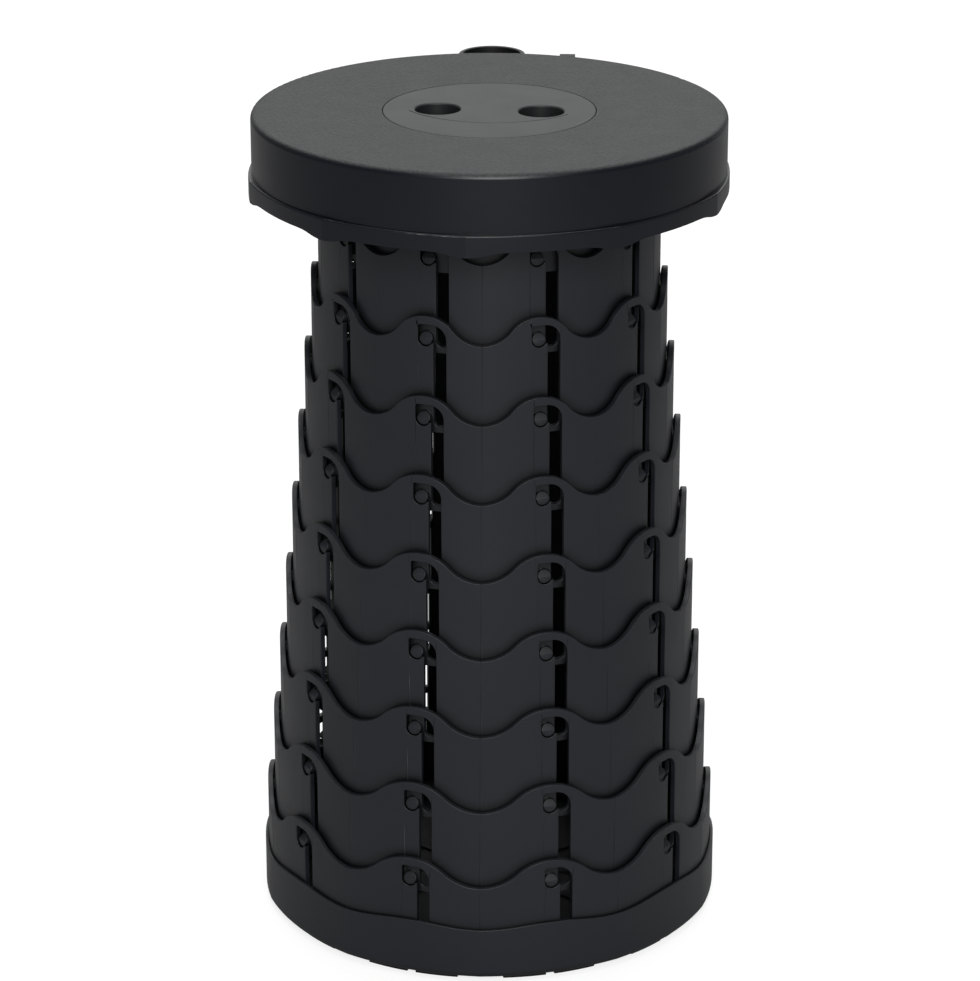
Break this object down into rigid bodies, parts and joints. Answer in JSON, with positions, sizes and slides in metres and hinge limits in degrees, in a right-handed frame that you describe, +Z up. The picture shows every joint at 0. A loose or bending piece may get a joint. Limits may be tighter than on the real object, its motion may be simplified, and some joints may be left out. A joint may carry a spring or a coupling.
{
  "type": "collapsible telescopic stool",
  "caption": "Round-seated plastic stool whose stack of ten-sided rings hangs on pegs in J-slots and telescopes down into a flat disc.",
  "frame": {"origin": "on the ground, at the middle of the base: the tray's flat underside is 2 mm above it, on the foot pads", "axes": "+Z up along the axis of the rings, a corner of the ten-sided rings towards -Y, the carry handle towards +Y"},
  "size_m": [0.254, 0.2788, 0.448],
  "materials": {
    "ring_plastic": "fine matt moulded polypropylene, charcoal",
    "seat_plastic": "fine textured top, charcoal grey",
    "skirt_plastic": "satin moulded polypropylene",
    "insert_plastic": "smooth satin",
    "handle_plastic": "smooth flexible plastic, black",
    "pad_rubber": "matt",
    "screw_steel": "zinc plated"
  },
  "bodies": {
    "base": {"base_tray": "ring_plastic", "base_ring": "ring_plastic", "foot_pads": "pad_rubber", "base_screws": "screw_steel"},
    "ring_8": {"ring_8": "ring_plastic"},
    "ring_7": {"ring_7": "ring_plastic"},
    "ring_6": {"ring_6": "ring_plastic"},
    "ring_5": {"ring_5": "ring_plastic"},
    "ring_4": {"ring_4": "ring_plastic"},
    "ring_3": {"ring_3": "ring_plastic"},
    "ring_2": {"ring_2": "ring_plastic"},
    "ring_1": {"ring_1": "ring_plastic"},
    "seat": {"inner_ring": "ring_plastic", "seat_shell": "seat_plastic", "seat_skirt": "skirt_plastic", "centre_insert": "insert_plastic", "seat_screws": "screw_steel", "insert_screws": "screw_steel", "carry_handle": "handle_plastic", "handle_screws": "screw_steel"}
  },
  "joints": [
    {"name": "ring_8_slide", "type": "slide", "parent": "base", "child": "ring_8", "axis": [0, 0, 1], "range_m": [-0.039, 0]},
    {"name": "ring_7_slide", "type": "slide", "parent": "ring_8", "child": "ring_7", "axis": [0, 0, 1], "range_m": [-0.039, 0]},
    {"name": "ring_6_slide", "type": "slide", "parent": "ring_7", "child": "ring_6", "axis": [0, 0, 1], "range_m": [-0.039, 0]},
    {"name": "ring_5_slide", "type": "slide", "parent": "ring_6", "child": "ring_5", "axis": [0, 0, 1], "range_m": [-0.039, 0]},
    {"name": "ring_4_slide", "type": "slide", "parent": "ring_5", "child": "ring_4", "axis": [0, 0, 1], "range_m": [-0.039, 0]},
    {"name": "ring_3_slide", "type": "slide", "parent": "ring_4", "child": "ring_3", "axis": [0, 0, 1], "range_m": [-0.039, 0]},
    {"name": "ring_2_slide", "type": "slide", "parent": "ring_3", "child": "ring_2", "axis": [0, 0, 1], "range_m": [-0.039, 0]},
    {"name": "ring_1_slide", "type": "slide", "parent": "ring_2", "child": "ring_1", "axis": [0, 0, 1], "range_m": [-0.039, 0]},
    {"name": "seat_slide", "type": "slide", "parent": "ring_1", "child": "seat", "axis": [0, 0, 1], "range_m": [-0.039, 0]}
  ]
}
